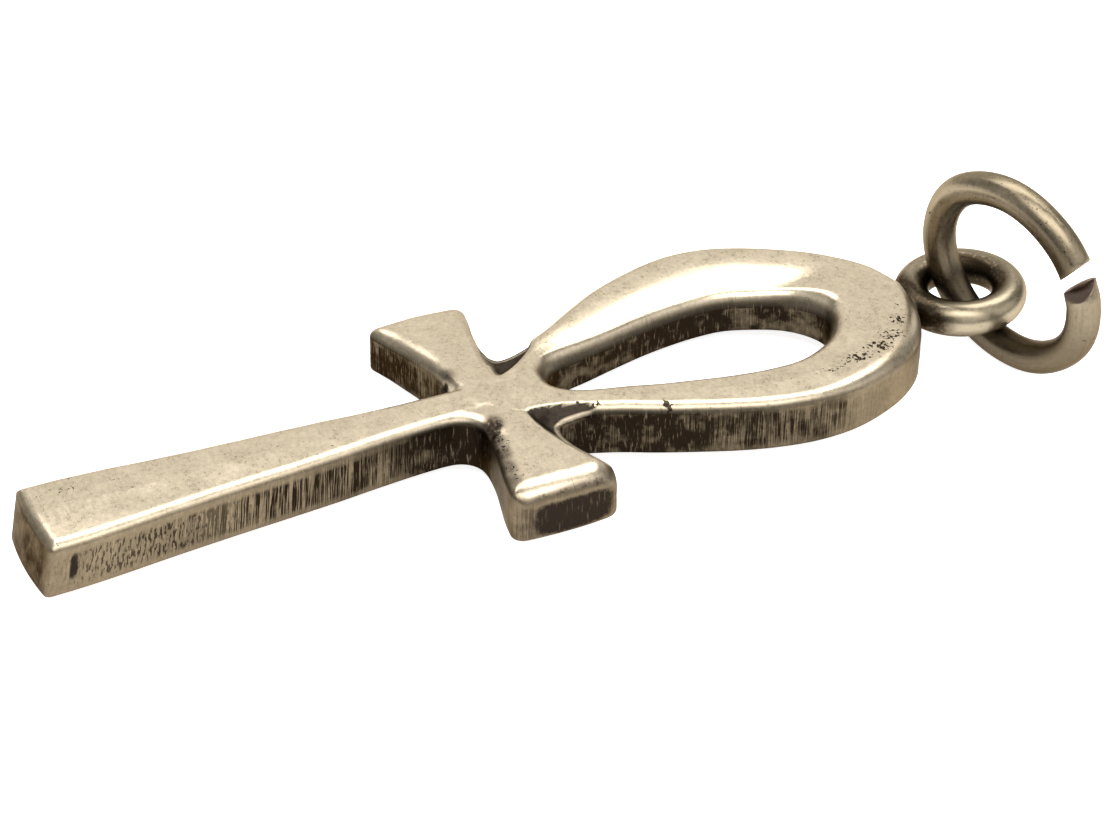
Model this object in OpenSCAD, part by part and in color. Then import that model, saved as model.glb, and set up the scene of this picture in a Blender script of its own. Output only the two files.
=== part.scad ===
// Ankh pendant: a cast and filed silver plate with a bail ring soldered to the end of its loop,
// and an open jump ring that hangs through the bail.
// The back of the plate faces down, +Y runs from the stem to the loop and +X is the right arm.
// The whole piece leans a little, because the jump ring props up its loop end.

/* [Plate] */
// Thickness of the plate at the crossing
plate_t = 2.06; // [1.6:0.02:3]
// Rise of the middle of the top above its shoulders
crown_h = 0.05; // [0.03:0.01:0.12]

/* [Stem] */
// Length of the stem, from the crossing to its free end
stem_l = 17.58; // [14:0.1:22]
// Width of the stem at its free end
stem_w = 4.1; // [3.4:0.05:5]
// Bulge of the stem's end face in plan
stem_bulge = 0.16; // [0:0.02:0.4]
// How far the stem's end face leans back from bottom to top
stem_lean = 0.44; // [0:0.02:0.8]

/* [Arms] */
// Reach of the right arm from the crossing
arm_l = 6.5; // [5.2:0.05:8]
// How much further the left arm reaches
left_extra_l = 0.2; // [0:0.05:0.5]
// How much thinner the left arm is filed at its end
left_thin = 0.3; // [0:0.02:0.5]
// Width of an arm at its flared end
arm_w = 3.95; // [3:0.05:5]
// Radius of an arm's end corners in plan
arm_corner_r = 0.5; // [0.3:0.05:0.9]
// Bulge of an arm's end face in plan
arm_bulge = 0.12; // [0:0.02:0.3]

/* [Loop] */
// Length of the loop, from the crossing to its outer end
loop_l = 18.05; // [15:0.1:22]
// Greatest width of the loop
loop_w = 11.7; // [10:0.1:14]
// Distance from the crossing to the far end of the hole
hole_l = 14.62; // [11.9:0.1:15.4]
// Greatest width of the hole
hole_w = 5.45; // [4.5:0.05:6.5]

/* [Worked edges] */
// Width of the rounded shoulder along the outer edges
shoulder_w = 0.42; // [0.2:0.02:0.6]
// Height of the rounded shoulder along the outer edges
shoulder_h = 0.34; // [0.15:0.02:0.6]
// Width of the shoulder along the arms, which are filed wider
arm_shoulder_w = 0.56; // [0.3:0.02:0.7]
// How much larger the shoulder is along the left side of the stem and loop
left_shoulder = 1.3; // [1:0.05:1.5]
// Width of the round-over inside the loop
inner_w = 0.64; // [0.3:0.02:0.9]
// Height of the round-over inside the loop
inner_h = 0.92; // [0.3:0.02:1.2]
// Radius of the fillet between the stem and an arm
stem_fillet_r = 0.85; // [0.5:0.05:1.1]
// Radius of the fillet between an arm and the loop
loop_fillet_r = 0.6; // [0.3:0.05:0.8]
// How far the shoulder dips in the four forks
fork_dip = 0.2; // [0.1:0.02:0.4]

/* [Bail ring] */
// Diameter of the bail's wire
bail_wire = 1.14; // [0.9:0.02:1.4]
// Inside diameter of the bail
bail_id = 2.7; // [2.5:0.02:3.2]
// How deep the bail's wire sits in the end of the loop
bail_seat = 0.06; // [0.05:0.01:0.3]
// Height of the bail's middle above the back of the plate
bail_z = 1.15; // [0.9:0.05:1.5]
// Sideways place of the bail
bail_x = 0.5; // [-0.5:0.05:0.6]
// How much the bail's free end is bent up
bail_tip = 4; // [0:0.5:6]
// Length of the solder round the joint
solder_l = 1.25; // [0.8:0.05:1.4]
// Width of the solder where it runs onto the loop
solder_w = 1.7; // [1.2:0.05:2]

/* [Jump ring] */
// Diameter of the jump ring's wire
jump_wire = 1.3; // [1:0.01:1.4]
// Inside diameter of the jump ring
jump_id = 6; // [5.6:0.05:7]
// Turn of the jump ring about the upright
jump_turn = 14.2; // [8:0.2:20]
// Lean of the jump ring from the upright
jump_lean = 8.6; // [4:0.2:12]
// Room between the jump ring and the bail where they hang together
jump_gap = 0.12; // [0.1:0.01:0.2]
// Turn round the jump ring, below level, at which the bail's wire sits in it
hang_turn = 72; // [62:0.5:82]
// Place of the cut round the jump ring
cut_turn = 23; // [0:1:60]
// Opening of the cut at the inside of the jump ring
cut_in = 0.44; // [0.2:0.02:0.6]
// Opening of the cut at the outside of the jump ring
cut_out = 0.7; // [0.2:0.02:1]
// Slant of the cut
cut_slant = 20; // [0:1:35]

/* [Hidden] */

silver = [0.76, 0.73, 0.66];
old_silver = [0.70, 0.67, 0.58];
$fn = 64;

// Steps between two rows of a table, and steps round a shoulder
row_steps = 3;
edge_steps = 3;
arc_steps = 8;

// Half widths and reach of each limb
stem_half = stem_w / 2;
loop_half = loop_w / 2;
hole_half = hole_w / 2;
wall_h = plate_t - shoulder_h;

// Blanks reach this far below the back before it is ground flat
blank = 0.3;
blank_step = 0.1;
ground = 4;

// Forks: shares of the stem's and an arm's length at which the sides are measured, how far the web
// reaches onto the plate in shoulder widths, and the outward lean of the loop's flank, which ends
// at this share of the loop
fork_on_stem = 0.06;
fork_on_arm = 0.42;
web_reach = 1.6;
flank_lean = 12;
flank_end = 0.6;

// Thin end of the solder, as a share of the bail's wire
solder_tip = 0.9;

// Where the left arm's corner touches the floor: shares of its corner radius, bulge and width
foot_corner = 0.3;
foot_bulge = 0.7;
foot_side = 0.5;

// Stem, from the crossing outwards: place along stem_l, then the right and left half widths as shares
// of stem_half. The left side is filed a little further in.
STEM = [
    // along, right, left
    [-0.07, 0.476, 0.45],
    [0.05, 0.486, 0.46],
    [0.17, 0.512, 0.485],
    [0.27, 0.576, 0.54],
    [0.36, 0.652, 0.61],
    [0.46, 0.714, 0.665],
    [0.58, 0.781, 0.73],
    [0.71, 0.869, 0.815],
    [0.84, 0.975, 0.92],
    [0.92, 1.020, 0.96],
    [1.00, 1.035, 0.965],
];

// Arms, from the crossing outwards: place along the arm's reach, stem side and loop side as shares
// of arm_w, then the two shoulders as shares of arm_shoulder_w
RIGHT_ARM = [
    // along, stem side, loop side, stem shoulder, loop shoulder
    [-0.10, 0.19, 0.19, 1.0, 1.0],
    [0.15, 0.20, 0.22, 1.1, 1.0],
    [0.30, 0.215, 0.30, 1.2, 0.9],
    [0.42, 0.24, 0.38, 1.2, 0.9],
    [0.53, 0.275, 0.435, 1.15, 1.0],
    [0.65, 0.33, 0.48, 1.05, 1.1],
    [0.78, 0.39, 0.54, 0.95, 1.2],
    [0.90, 0.43, 0.595, 0.85, 1.4],
    [1.00, 0.45, 0.64, 0.80, 1.5],
];
LEFT_ARM = [
    // along, stem side, loop side, stem shoulder, loop shoulder
    [-0.10, 0.19, 0.19, 1.0, 1.0],
    [0.15, 0.20, 0.22, 1.0, 1.0],
    [0.30, 0.215, 0.27, 1.0, 0.9],
    [0.42, 0.24, 0.315, 1.0, 0.9],
    [0.53, 0.28, 0.345, 1.0, 1.0],
    [0.65, 0.335, 0.37, 1.0, 1.0],
    [0.78, 0.395, 0.42, 1.0, 1.1],
    [0.90, 0.465, 0.45, 0.9, 1.1],
    [1.00, 0.53, 0.465, 0.9, 1.1],
];

// Loop, from the crossing to its outer end: place along loop_l with the right and left outer half
// widths as shares of loop_half, then place along hole_l with the hole's right and left half widths
// as shares of hole_half. The loop was bent by hand and isn't quite even.
LOOP = [
    // along, right, left, hole along, hole right, hole left
    [-0.055, 0.00, 0.00, 0.188, 0.00, 0.00],
    [0.035, 0.29, 0.29, 0.196, 0.16, 0.24],
    [0.122, 0.385, 0.40, 0.228, 0.32, 0.44],
    [0.218, 0.50, 0.545, 0.280, 0.43, 0.55],
    [0.300, 0.628, 0.70, 0.350, 0.54, 0.63],
    [0.375, 0.733, 0.83, 0.430, 0.68, 0.74],
    [0.450, 0.830, 0.925, 0.533, 0.83, 0.87],
    [0.530, 0.908, 1.000, 0.622, 0.95, 0.945],
    [0.616, 0.953, 1.030, 0.711, 1.02, 0.98],
    [0.704, 0.942, 0.980, 0.793, 1.015, 0.95],
    [0.787, 0.870, 0.862, 0.875, 0.86, 0.78],
    [0.864, 0.755, 0.708, 0.933, 0.64, 0.60],
    [0.931, 0.575, 0.515, 0.971, 0.40, 0.385],
    [0.980, 0.300, 0.285, 0.993, 0.18, 0.165],
    [1.000, 0.000, 0.000, 1.000, 0.00, 0.00],
];

// Curve through a table's rows: row number with a fraction gives every column at once
function spline(p, q, r, s, f) =
    0.5 * (2 * q + (r - p) * f + (2 * p - 5 * q + 4 * r - s) * f * f + (3 * q - p - 3 * r + s) * f * f * f);
function clamp_row(t, i) = t[max(0, min(len(t) - 1, i))];
function at(t, k) = let (i = min(len(t) - 2, floor(k)))
    spline(clamp_row(t, i - 1), t[i], t[i + 1], clamp_row(t, i + 2), k - i);
function rows(t) = [for (k = [0:(len(t) - 1) * row_steps]) at(t, k / row_steps)];

// Height still left on a rounded end, from 1 away from the end to 0 at the end itself
function fall(left, w) = left >= w ? 1 : sqrt(max(0, 1 - pow(1 - left / w, 2)));
// How far a corner of radius r pulls a side in, with a given distance left to the end
function pull(left, r) = left >= r ? 0 : r - sqrt(max(0, r * r - pow(r - left, 2)));

// Cross-section of a limb between two sides: wall, shoulder, crowned top, shoulder, wall
function shoulder(side, dir, w, wall, h) = [
    for (k = [0:edge_steps]) let (a = 90 * k / edge_steps)
        [side + dir * w * (1 - cos(a)), wall + h * sin(a)]
];
function flip(v) = [for (k = [len(v) - 1:-1:0]) v[k]];
function section(lo, hi, top, h_lo, h_hi, w_lo, w_hi, crown, deep) = concat(
    [[lo, -deep]],
    shoulder(lo, 1, w_lo, top - h_lo, h_lo),
    [[(lo + w_lo + hi - w_hi) / 2, top + crown]],
    flip(shoulder(hi, -1, w_hi, top - h_hi, h_hi)),
    [[hi, -deep]]
);

// Skin over rings of points, either capped at both ends or closed into a hoop
function side_faces(n, m, hoop) = [
    for (i = [0:n - (hoop ? 1 : 2)]) for (j = [0:m - 1]) let (
        a = i * m + j,
        b = i * m + (j + 1) % m,
        c = ((i + 1) % n) * m + (j + 1) % m,
        d = ((i + 1) % n) * m + j
    ) each [[a, b, c], [a, c, d]]
];
module skin(rings, hoop = false) {
    n = len(rings);
    m = len(rings[0]);
    caps = hoop ? [] : [[for (j = [m - 1:-1:0]) j], [for (j = [0:m - 1]) (n - 1) * m + j]];
    faces = concat(side_faces(n, m, hoop), caps);
    polyhedron(points = [for (r = rings) each r], faces = faces, convexity = 8);
}

// Stations close to a rounded end, as lengths left to that end
function end_stations(w) = [for (k = [edge_steps - 1:-1:0]) w * (1 - cos(90 * k / edge_steps))];

// Stem: a tapered bar with a slightly bulged end that leans back
function stem_half_at(y, column) =
    stem_half * lookup(y, [for (r = rows(STEM)) [r[0] * stem_l, r[column]]]);
function stem_ring(y) = let (
    in = pull(stem_l - y, shoulder_w / 2),
    f = fall(stem_l - y, shoulder_w),
    h = shoulder_h * f,
    out = max(0, y) / stem_l,
    s = section(in - stem_half_at(y, 2), stem_half_at(y, 1) - in, wall_h + h, h * left_shoulder, h,
        shoulder_w * left_shoulder, shoulder_w, crown_h * f, blank)
) [
    for (p = s) let (bulge = stem_bulge * pow(p[0] / stem_half, 2), lean = stem_lean * p[1] / plate_t)
        [p[0], -y + (bulge + lean) * out, p[1]]
];
module stem() {
    main = [for (r = rows(STEM)) if (r[0] * stem_l < stem_l - shoulder_w) r[0] * stem_l];
    near = [for (left = end_stations(shoulder_w)) stem_l - left];
    skin([for (y = concat(main, [stem_l - shoulder_w], near)) stem_ring(y)]);
}

// Arm: a flared bar with rounded corners, drawn to the right; the left arm is mirrored
function arm_at(t, l, x, column) = lookup(x, [for (r = rows(t)) [r[0] * l, r[column]]]);
function arm_ring(t, l, thin, x) = let (
    left = l - x,
    in = pull(left, arm_corner_r),
    lo = -arm_w * arm_at(t, l, x, 1) + in,
    hi = arm_w * arm_at(t, l, x, 2) - in,
    f = fall(left, shoulder_w),
    w_lo = arm_shoulder_w * arm_at(t, l, x, 3),
    w_hi = arm_shoulder_w * arm_at(t, l, x, 4),
    h_lo = shoulder_h * f * arm_at(t, l, x, 3),
    h_hi = shoulder_h * f * arm_at(t, l, x, 4),
    top = wall_h + shoulder_h * f - thin * pow(max(0, x) / l, 2),
    mid = (lo + hi) / 2,
    s = section(lo, hi, top, h_lo, h_hi, w_lo, w_hi, crown_h * f, blank + blank_step)
) [for (p = s) [x - arm_bulge * pow((p[0] - mid) / arm_w * 2, 2) * max(0, x) / l, p[0], p[1]]];
module arm(t, l, thin) {
    reach = max(arm_corner_r, shoulder_w);
    main = [for (r = rows(t)) if (r[0] * l < l - reach) r[0] * l];
    near = [for (left = end_stations(reach)) l - left];
    skin([for (x = concat(main, [l - reach], near)) arm_ring(t, l, thin, x)]);
}
left_l = arm_l + left_extra_l;
module arms() {
    arm(RIGHT_ARM, arm_l, 0);
    mirror([1, 0, 0]) arm(LEFT_ARM, left_l, left_thin);
}

// Loop: a hoop of sections between the outer outline and the hole
function loop_ring(r, side) = let (
    outer = [side * (side > 0 ? r[1] : r[2]) * loop_half, r[0] * loop_l],
    inner = [side * (side > 0 ? r[4] : r[5]) * hole_half, r[3] * hole_l],
    across = inner - outer,
    w = norm(across),
    dir = across / w,
    f = side > 0 ? 1 : 1 + (left_shoulder - 1) * min(1, outer[0] / -hole_half),
    deep = blank + 2 * blank_step,
    s = section(0, w, plate_t, shoulder_h * f, inner_h, shoulder_w * f, inner_w, crown_h, deep)
) [for (p = s) [outer[0] + dir[0] * p[0], outer[1] + dir[1] * p[0], p[1]]];
module loop() {
    half = rows(LOOP);
    last = len(half) - 1;
    right = [for (k = [0:last]) loop_ring(half[k], 1)];
    left = [for (k = [last - 1:-1:1]) loop_ring(half[k], -1)];
    skin(concat(right, left), hoop = true);
}

// Web that fills the corner of a fork: an arc between the two walls, lowest in its middle, that rises
// to a point on the plate
module fork_web(centre, r, from, to, apex) {
    turns = [for (k = [0:arc_steps]) k / arc_steps];
    arc = [for (f = turns) centre + r * [cos(from + (to - from) * f), sin(from + (to - from) * f)]];
    n = len(arc);
    deep = -blank - blank_step / 2;
    points = concat(
        [for (p = arc) [p[0], p[1], deep]],
        [for (k = [0:n - 1]) [arc[k][0], arc[k][1], wall_h - fork_dip * sin(180 * turns[k])]],
        [[apex[0], apex[1], deep], [apex[0], apex[1], plate_t + crown_h / 2]]
    );
    faces = concat(
        [for (k = [0:n - 2]) each [[k, k + 1, n + k + 1], [k, n + k + 1, n + k]]],
        [for (k = [0:n - 2]) [n + k, n + k + 1, 2 * n + 1]],
        [for (k = [0:n - 2]) [k + 1, k, 2 * n]],
        [[0, n, 2 * n + 1], [0, 2 * n + 1, 2 * n], [n - 1, 2 * n + 1, 2 * n - 1], [n - 1, 2 * n, 2 * n + 1]]
    );
    polyhedron(points = points, faces = faces, convexity = 4);
}

// The fork between the stem and an arm, where both sides are nearly straight
module stem_fork(t, l, column) {
    stem_side = stem_half_at(fork_on_stem * stem_l, column);
    arm_side = arm_w * arm_at(t, l, stem_side + stem_fillet_r, 1);
    fork_web([stem_side, -arm_side] + [stem_fillet_r, -stem_fillet_r], stem_fillet_r, 90, 180,
        [stem_side - shoulder_w, -arm_side + shoulder_w]);
}

// The fork between an arm and the loop, whose flank leans outwards
function flank_at(y, column) =
    loop_half * lookup(y, [for (r = rows(LOOP)) if (r[0] < flank_end) [r[0] * loop_l, r[column]]]);
module loop_fork(t, l, column) {
    arm_side = arm_w * arm_at(t, l, fork_on_arm * l, 2);
    cy = arm_side + loop_fillet_r;
    side = flank_at(cy, column);
    fork_web([side + loop_fillet_r, cy], loop_fillet_r, 180 - flank_lean, 270,
        [side, arm_side] - web_reach * shoulder_w * [1, 1]);
}
module forks() {
    stem_fork(RIGHT_ARM, arm_l, 1);
    loop_fork(RIGHT_ARM, arm_l, 1);
    mirror([1, 0, 0]) {
        stem_fork(LEFT_ARM, left_l, 2);
        loop_fork(LEFT_ARM, left_l, 2);
    }
}

// Bail ring: a hoop of round wire lying flat, with its solder
bail_r = (bail_id + bail_wire) / 2;
bail_y = loop_l - bail_seat + bail_wire / 2 + bail_r;
module bail() {
    translate([bail_x, bail_y, bail_z]) rotate([bail_tip, 0, 0])
        rotate_extrude() translate([bail_r, 0]) circle(d = bail_wire);
    translate([bail_x, loop_l - solder_l / 2, bail_z]) rotate([-90, 0, 0])
        cylinder(h = solder_l, d1 = solder_w, d2 = bail_wire * solder_tip);
}

// Jump ring: it stands nearly upright, across the bail's middle, with the bail's wire inside it
jump_r = (jump_id + jump_wire) / 2;
jump_out = [cos(jump_turn), sin(jump_turn), 0];
jump_up = [sin(jump_lean) * sin(jump_turn), -sin(jump_lean) * cos(jump_turn), cos(jump_lean)];
hang_r = jump_r - jump_gap - (bail_wire + jump_wire) / 2;
jump_c = [bail_x, bail_y, bail_z] + (bail_r + hang_r * cos(hang_turn)) * jump_out
    + hang_r * sin(hang_turn) * jump_up;
cut_mid = (cut_in + cut_out) / 2;
module jump_hoop() {
    difference() {
        rotate_extrude() translate([jump_r, 0]) circle(d = jump_wire);
        rotate([0, 0, cut_turn]) translate([jump_r, 0, -jump_wire]) rotate([0, 0, cut_slant])
            linear_extrude(2 * jump_wire) polygon([
                [-jump_wire, -cut_in + cut_mid / 2], [jump_wire, -cut_out + cut_mid / 2],
                [jump_wire, cut_out - cut_mid / 2], [-jump_wire, cut_in - cut_mid / 2]
            ]);
    }
}

// Lean of the whole piece at rest: it stands on the left corner of the stem, the tip of the left arm
// and the bottom of the jump ring
function unit(v) = v / norm(v);
stem_foot = [-stem_half_at(stem_l, 2), -stem_l + stem_bulge, 0];
arm_foot = [
    -left_l + arm_corner_r * foot_corner + arm_bulge * foot_bulge,
    -arm_w * foot_side + arm_corner_r * foot_corner,
    0
];
jump_n = cross(jump_out, jump_up);
function jump_foot(n) = jump_c - jump_r * unit(n - (n * jump_n) * jump_n) - jump_wire / 2 * n;
function rest_normal(foot) = let (n = unit(cross(stem_foot - arm_foot, foot - arm_foot))) n[2] > 0 ? n : -n;
rest_first = rest_normal(jump_foot([0, 0, 1]));
rest_up = rest_normal(jump_foot(rest_first));
module at_rest() {
    rotate(a = acos(rest_up[2]), v = cross(rest_up, [0, 0, 1])) children();
}

module ankh() {
    color(silver) at_rest() difference() {
        union() {
            stem();
            arms();
            loop();
            forks();
            bail();
        }
        translate([-loop_w, -2 * stem_l, -ground]) cube([2 * loop_w, 4 * loop_l, ground]);
    }
}

module jump_ring() {
    color(old_silver) at_rest()
        translate(jump_c) rotate([0, 0, jump_turn]) rotate([90 + jump_lean, 0, 0]) jump_hoop();
}

ankh();
jump_ring();
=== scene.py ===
from math import acos, atan, cos, hypot, pi, radians, sin

import bpy
import numpy as np
from mathutils import Matrix, Vector
from mathutils.geometry import delaunay_2d_cdt


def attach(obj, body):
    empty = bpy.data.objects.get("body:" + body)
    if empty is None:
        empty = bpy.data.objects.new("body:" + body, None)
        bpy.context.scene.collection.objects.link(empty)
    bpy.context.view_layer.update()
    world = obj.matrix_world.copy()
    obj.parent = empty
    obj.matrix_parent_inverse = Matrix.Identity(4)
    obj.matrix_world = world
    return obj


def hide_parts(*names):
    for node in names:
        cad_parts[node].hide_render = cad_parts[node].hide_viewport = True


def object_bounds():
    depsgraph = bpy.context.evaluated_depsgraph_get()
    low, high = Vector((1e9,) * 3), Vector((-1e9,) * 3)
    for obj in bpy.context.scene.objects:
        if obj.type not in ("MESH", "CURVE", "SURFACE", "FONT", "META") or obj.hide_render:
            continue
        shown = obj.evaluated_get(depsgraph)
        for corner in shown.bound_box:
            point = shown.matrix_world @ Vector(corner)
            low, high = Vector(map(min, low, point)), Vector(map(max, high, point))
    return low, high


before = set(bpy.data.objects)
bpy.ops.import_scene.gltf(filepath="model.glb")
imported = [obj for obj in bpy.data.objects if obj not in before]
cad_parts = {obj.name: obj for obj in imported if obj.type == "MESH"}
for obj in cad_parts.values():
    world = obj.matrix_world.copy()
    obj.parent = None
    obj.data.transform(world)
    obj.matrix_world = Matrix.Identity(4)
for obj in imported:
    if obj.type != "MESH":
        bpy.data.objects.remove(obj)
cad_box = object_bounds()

scene = bpy.context.scene
# The plate is worked out in millimetres, lying flat, and set down in metres at its lean
MM = 0.001

# Plate
PLATE_T, CROWN_H = 2.06, 0.05
STEM_L, STEM_HALF, STEM_BULGE, STEM_LEAN = 17.58, 2.05, 0.16, 0.44
ARM_L, LEFT_EXTRA_L, LEFT_THIN = 6.5, 0.2, 0.3
ARM_W, ARM_BULGE = 3.95, 0.12
LOOP_L, LOOP_HALF, HOLE_L, HOLE_HALF = 18.05, 5.85, 14.62, 2.725
# Plan radii of the arms' end corners, stem side and loop side
RIGHT_CORNERS, LEFT_CORNERS = (0.5, 1.0), (0.55, 0.6)
# A corner of this radius stays sharp
SHARP = 0.01
# How far the stem and the arms run on past the crossing
STEM_ROOT, ARM_ROOT = 1.2, 0.6

# Worked edges: widths and heights of the shoulders
SHOULDER_W, SHOULDER_H, ARM_SHOULDER_W = 0.42, 0.34, 0.56
INNER_W, INNER_H = 0.64, 0.92
# Their factors on the left side, on the right and left arm's stem side, and on the arms' ends
LEFT_SHOULDER, RIGHT_BEVEL, LEFT_BEVEL, ARM_END_SHOULDER = 1.3, 1.2, 1.35, 0.65
# The inner shoulder is smaller by this share on the hole's far side
FAR_INNER = 0.45
# Rounding of the forks in plan, and of the valleys where two tops meet
STEM_FORK, LOOP_FORK, VALLEY = 1.0, 1.75, 0.07
# Slope of the worked edges outside the outline, which leaves valleys in the forks
FORK_SLOPE = 0.4
# The far strip of the loop falls by this much to its inner edge
LOOP_DISH = 0.5
# The worn edge of the stem runs on round the right fork: centre, reach and slope past it
TURNED_X, TURNED_Y, TURNED_REACH, TURNED_SLOPE = 1.35, -1.15, 0.9, 0.5
# The crossing is worn level: height above the plate, centre, reach and the rise round it
LEVEL_H, LEVEL_Y, LEVEL_REACH, LEVEL_SLOPE = 0.03, 0.2, 1.5, 0.05

# The file cut down the loop forks between two curved lines from a corner of the top. A row holds
# the corner, its side, how the arm's line rises outwards, and how the loop's line runs and turns
FORK_CUTS = [
    (1.63, 0.86, 1, 0.06, 0.03, 0.1),
    (-0.65, 0.82, -1, 0.03, 0.3, 0.145),
]
# How steep and deep the cut is, how far up the loop it goes, and how round its corner is
CUT_SLOPE, CUT_DEPTH, CUT_END, CUT_ROUND = 1.0, 0.55, 2.3, 0.3
# Value of the cut well outside it
UNCUT = -0.3
# Where the cut facets' darker tone ends along the arms, how far in from the outline it starts, and
# over what depth it grows dark in the right and the left fork
CUT_REACH, CUT_LIP, CUT_TONE = 3.4, 0.09, (0.05, 0.5)
# The right arm's end corner on the loop side is worn down: place, reach and depth
WORN_CORNER, WORN_REACH, WORN_DEPTH = (6.5, 2.84), 1.5, 1.2
# The shoulder of the loop's end is larger by this share on the right
WORN_END = 0.8

# Bail ring, with the solder that made its wire a little thicker
BAIL_WIRE, BAIL_ID, BAIL_SEAT, BAIL_X, BAIL_Z, BAIL_TIP = 1.14, 2.7, 0.06, 0.5, 1.15, 4.0
BAIL_PLUMP = 0.26
BAIL_R = (BAIL_ID + BAIL_WIRE) / 2
BAIL_CENTRE = np.array([BAIL_X, LOOP_L - BAIL_SEAT + BAIL_WIRE / 2 + BAIL_R, BAIL_Z])
# The lump of solder: width at the loop, loss of width, how far inside the loop's end it starts,
# length, factors of the width across and upwards, and how far below the bail's centre it lies
LUMP_W, LUMP_TAPER, LUMP_IN, LUMP_L = 1.75, 0.7, 0.75, 1.55
LUMP_ACROSS, LUMP_HIGH, LUMP_LOW = 1.05, 0.62, 0.02
# Grain to which the wire and the solder are melted together
MELT_GRAIN = 0.06

# Jump ring
JUMP_WIRE, JUMP_ID, JUMP_GAP, HANG_TURN = 1.3, 6.0, 0.12, 72.0
JUMP_TURN, JUMP_LEAN = 14.2, 8.6
JUMP_R = (JUMP_ID + JUMP_WIRE) / 2
# The cut: its place, how wide it is inside and outside, and its slant
CUT_TURN, CUT_IN, CUT_OUT, CUT_SLANT = 23.0, 0.44, 0.7, 20.0
CUT_MIDDLE = (CUT_IN + CUT_OUT) / 2
CUT_BEVEL = 0.05
# The cut faces from the middle outwards: share of the wire's radius and how far set in
CUT_FACE = [(0.55, 0.0), (0.9, 0.0), (0.975, CUT_BEVEL * 0.3)]
# Slant of the flat on the lower cut end, as shares along the wire, outwards and forwards,
# and its place forwards
FLAT_ALONG, FLAT_OUT, FLAT_FRONT, FLAT_DEPTH = 0.6, 0.3, 0.5, 0.15
# A painted dark reflection along the front from the upper cut end: its turn round the wire and its
# length
STREAK_SIDE, STREAK_RUN = 1.5, 0.09
# Turns round the jump ring's wire, from its outer side to its front
WIRE_TURNS = np.linspace(0, 2 * pi, 36, endpoint=False)

# Stem, from the crossing outwards: along STEM_L, right and left half widths as shares of STEM_HALF
STEM = [
    (-0.07, 0.476, 0.45),
    (0.05, 0.486, 0.46),
    (0.17, 0.512, 0.485),
    (0.27, 0.576, 0.54),
    (0.36, 0.652, 0.61),
    (0.46, 0.714, 0.665),
    (0.58, 0.781, 0.73),
    (0.71, 0.869, 0.815),
    (0.84, 0.975, 0.92),
    (0.92, 1.02, 0.96),
    (1.0, 1.035, 0.965),
]

# Arms: along the reach, stem side and loop side as shares of ARM_W, then their shoulders as shares
RIGHT_ARM = [
    (-0.1, 0.19, 0.19, 1.0, 1.0),
    (0.15, 0.2, 0.22, 1.1, 1.0),
    (0.3, 0.215, 0.3, 1.2, 0.9),
    (0.42, 0.24, 0.38, 1.2, 0.9),
    (0.53, 0.275, 0.435, 1.15, 1.0),
    (0.65, 0.33, 0.49, 1.05, 1.2),
    (0.78, 0.39, 0.575, 0.95, 1.4),
    (0.9, 0.43, 0.655, 0.85, 1.65),
    (1.0, 0.45, 0.72, 0.8, 1.8),
]
LEFT_ARM = [
    (-0.1, 0.19, 0.19, 1.0, 1.0),
    (0.15, 0.2, 0.22, 1.0, 1.0),
    (0.3, 0.215, 0.27, 1.0, 0.9),
    (0.42, 0.24, 0.315, 1.0, 0.9),
    (0.53, 0.28, 0.36, 1.0, 1.0),
    (0.65, 0.335, 0.4, 1.0, 1.0),
    (0.78, 0.395, 0.465, 1.0, 1.1),
    (0.9, 0.465, 0.51, 0.9, 1.1),
    (1.0, 0.53, 0.535, 0.9, 1.1),
]

# Loop: along LOOP_L, right and left half widths, then along HOLE_L, right and left half widths
LOOP = [
    (-0.055, 0.0, 0.0, 0.188, 0.0, 0.0),
    (0.035, 0.29, 0.29, 0.196, 0.16, 0.24),
    (0.122, 0.385, 0.4, 0.228, 0.32, 0.44),
    (0.218, 0.5, 0.545, 0.28, 0.43, 0.55),
    (0.3, 0.628, 0.7, 0.35, 0.54, 0.63),
    (0.375, 0.733, 0.83, 0.43, 0.68, 0.74),
    (0.45, 0.83, 0.925, 0.533, 0.83, 0.87),
    (0.53, 0.908, 1.0, 0.622, 0.95, 0.945),
    (0.616, 0.953, 1.03, 0.711, 1.02, 0.98),
    (0.704, 0.942, 0.98, 0.793, 1.015, 0.95),
    (0.787, 0.87, 0.862, 0.875, 0.86, 0.78),
    (0.864, 0.755, 0.708, 0.933, 0.64, 0.6),
    (0.931, 0.575, 0.515, 0.971, 0.4, 0.385),
    (0.98, 0.3, 0.285, 0.993, 0.18, 0.165),
    (1.0, 0.0, 0.0, 1.0, 0.0, 0.0),
]

# Points near the plate's outer line and near its hole's
OUTLINE_STARTS = [(5.6, 9.0), (0.0, HOLE_L - 0.1)]
OUTLINE_STEP, TOP_GRID = 0.11, 0.085
# How far in from the outline the rings of the top's edge lie, and where the wall's paint ends
EDGE_RINGS = (0.01, 0.025, 0.05, 0.085, 0.13, 0.18, 0.24, 0.31, 0.39)
WALL_FADE = 0.19
# The back's broken edge from the back up: distance in from the outline and height
BACK_EDGE = ((0.06, 0.0), (0.02, 0.02), (0.0, 0.06))
WALL_LEVELS = 16
# How uneven the handwork left the walls and the top, and over what length
HAND_WAVE, WALL_WAVE_L, TOP_WAVE_L = 0.012, 0.8, 1.6
# How many points are measured against a line at a time
BATCH = 6000


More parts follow.
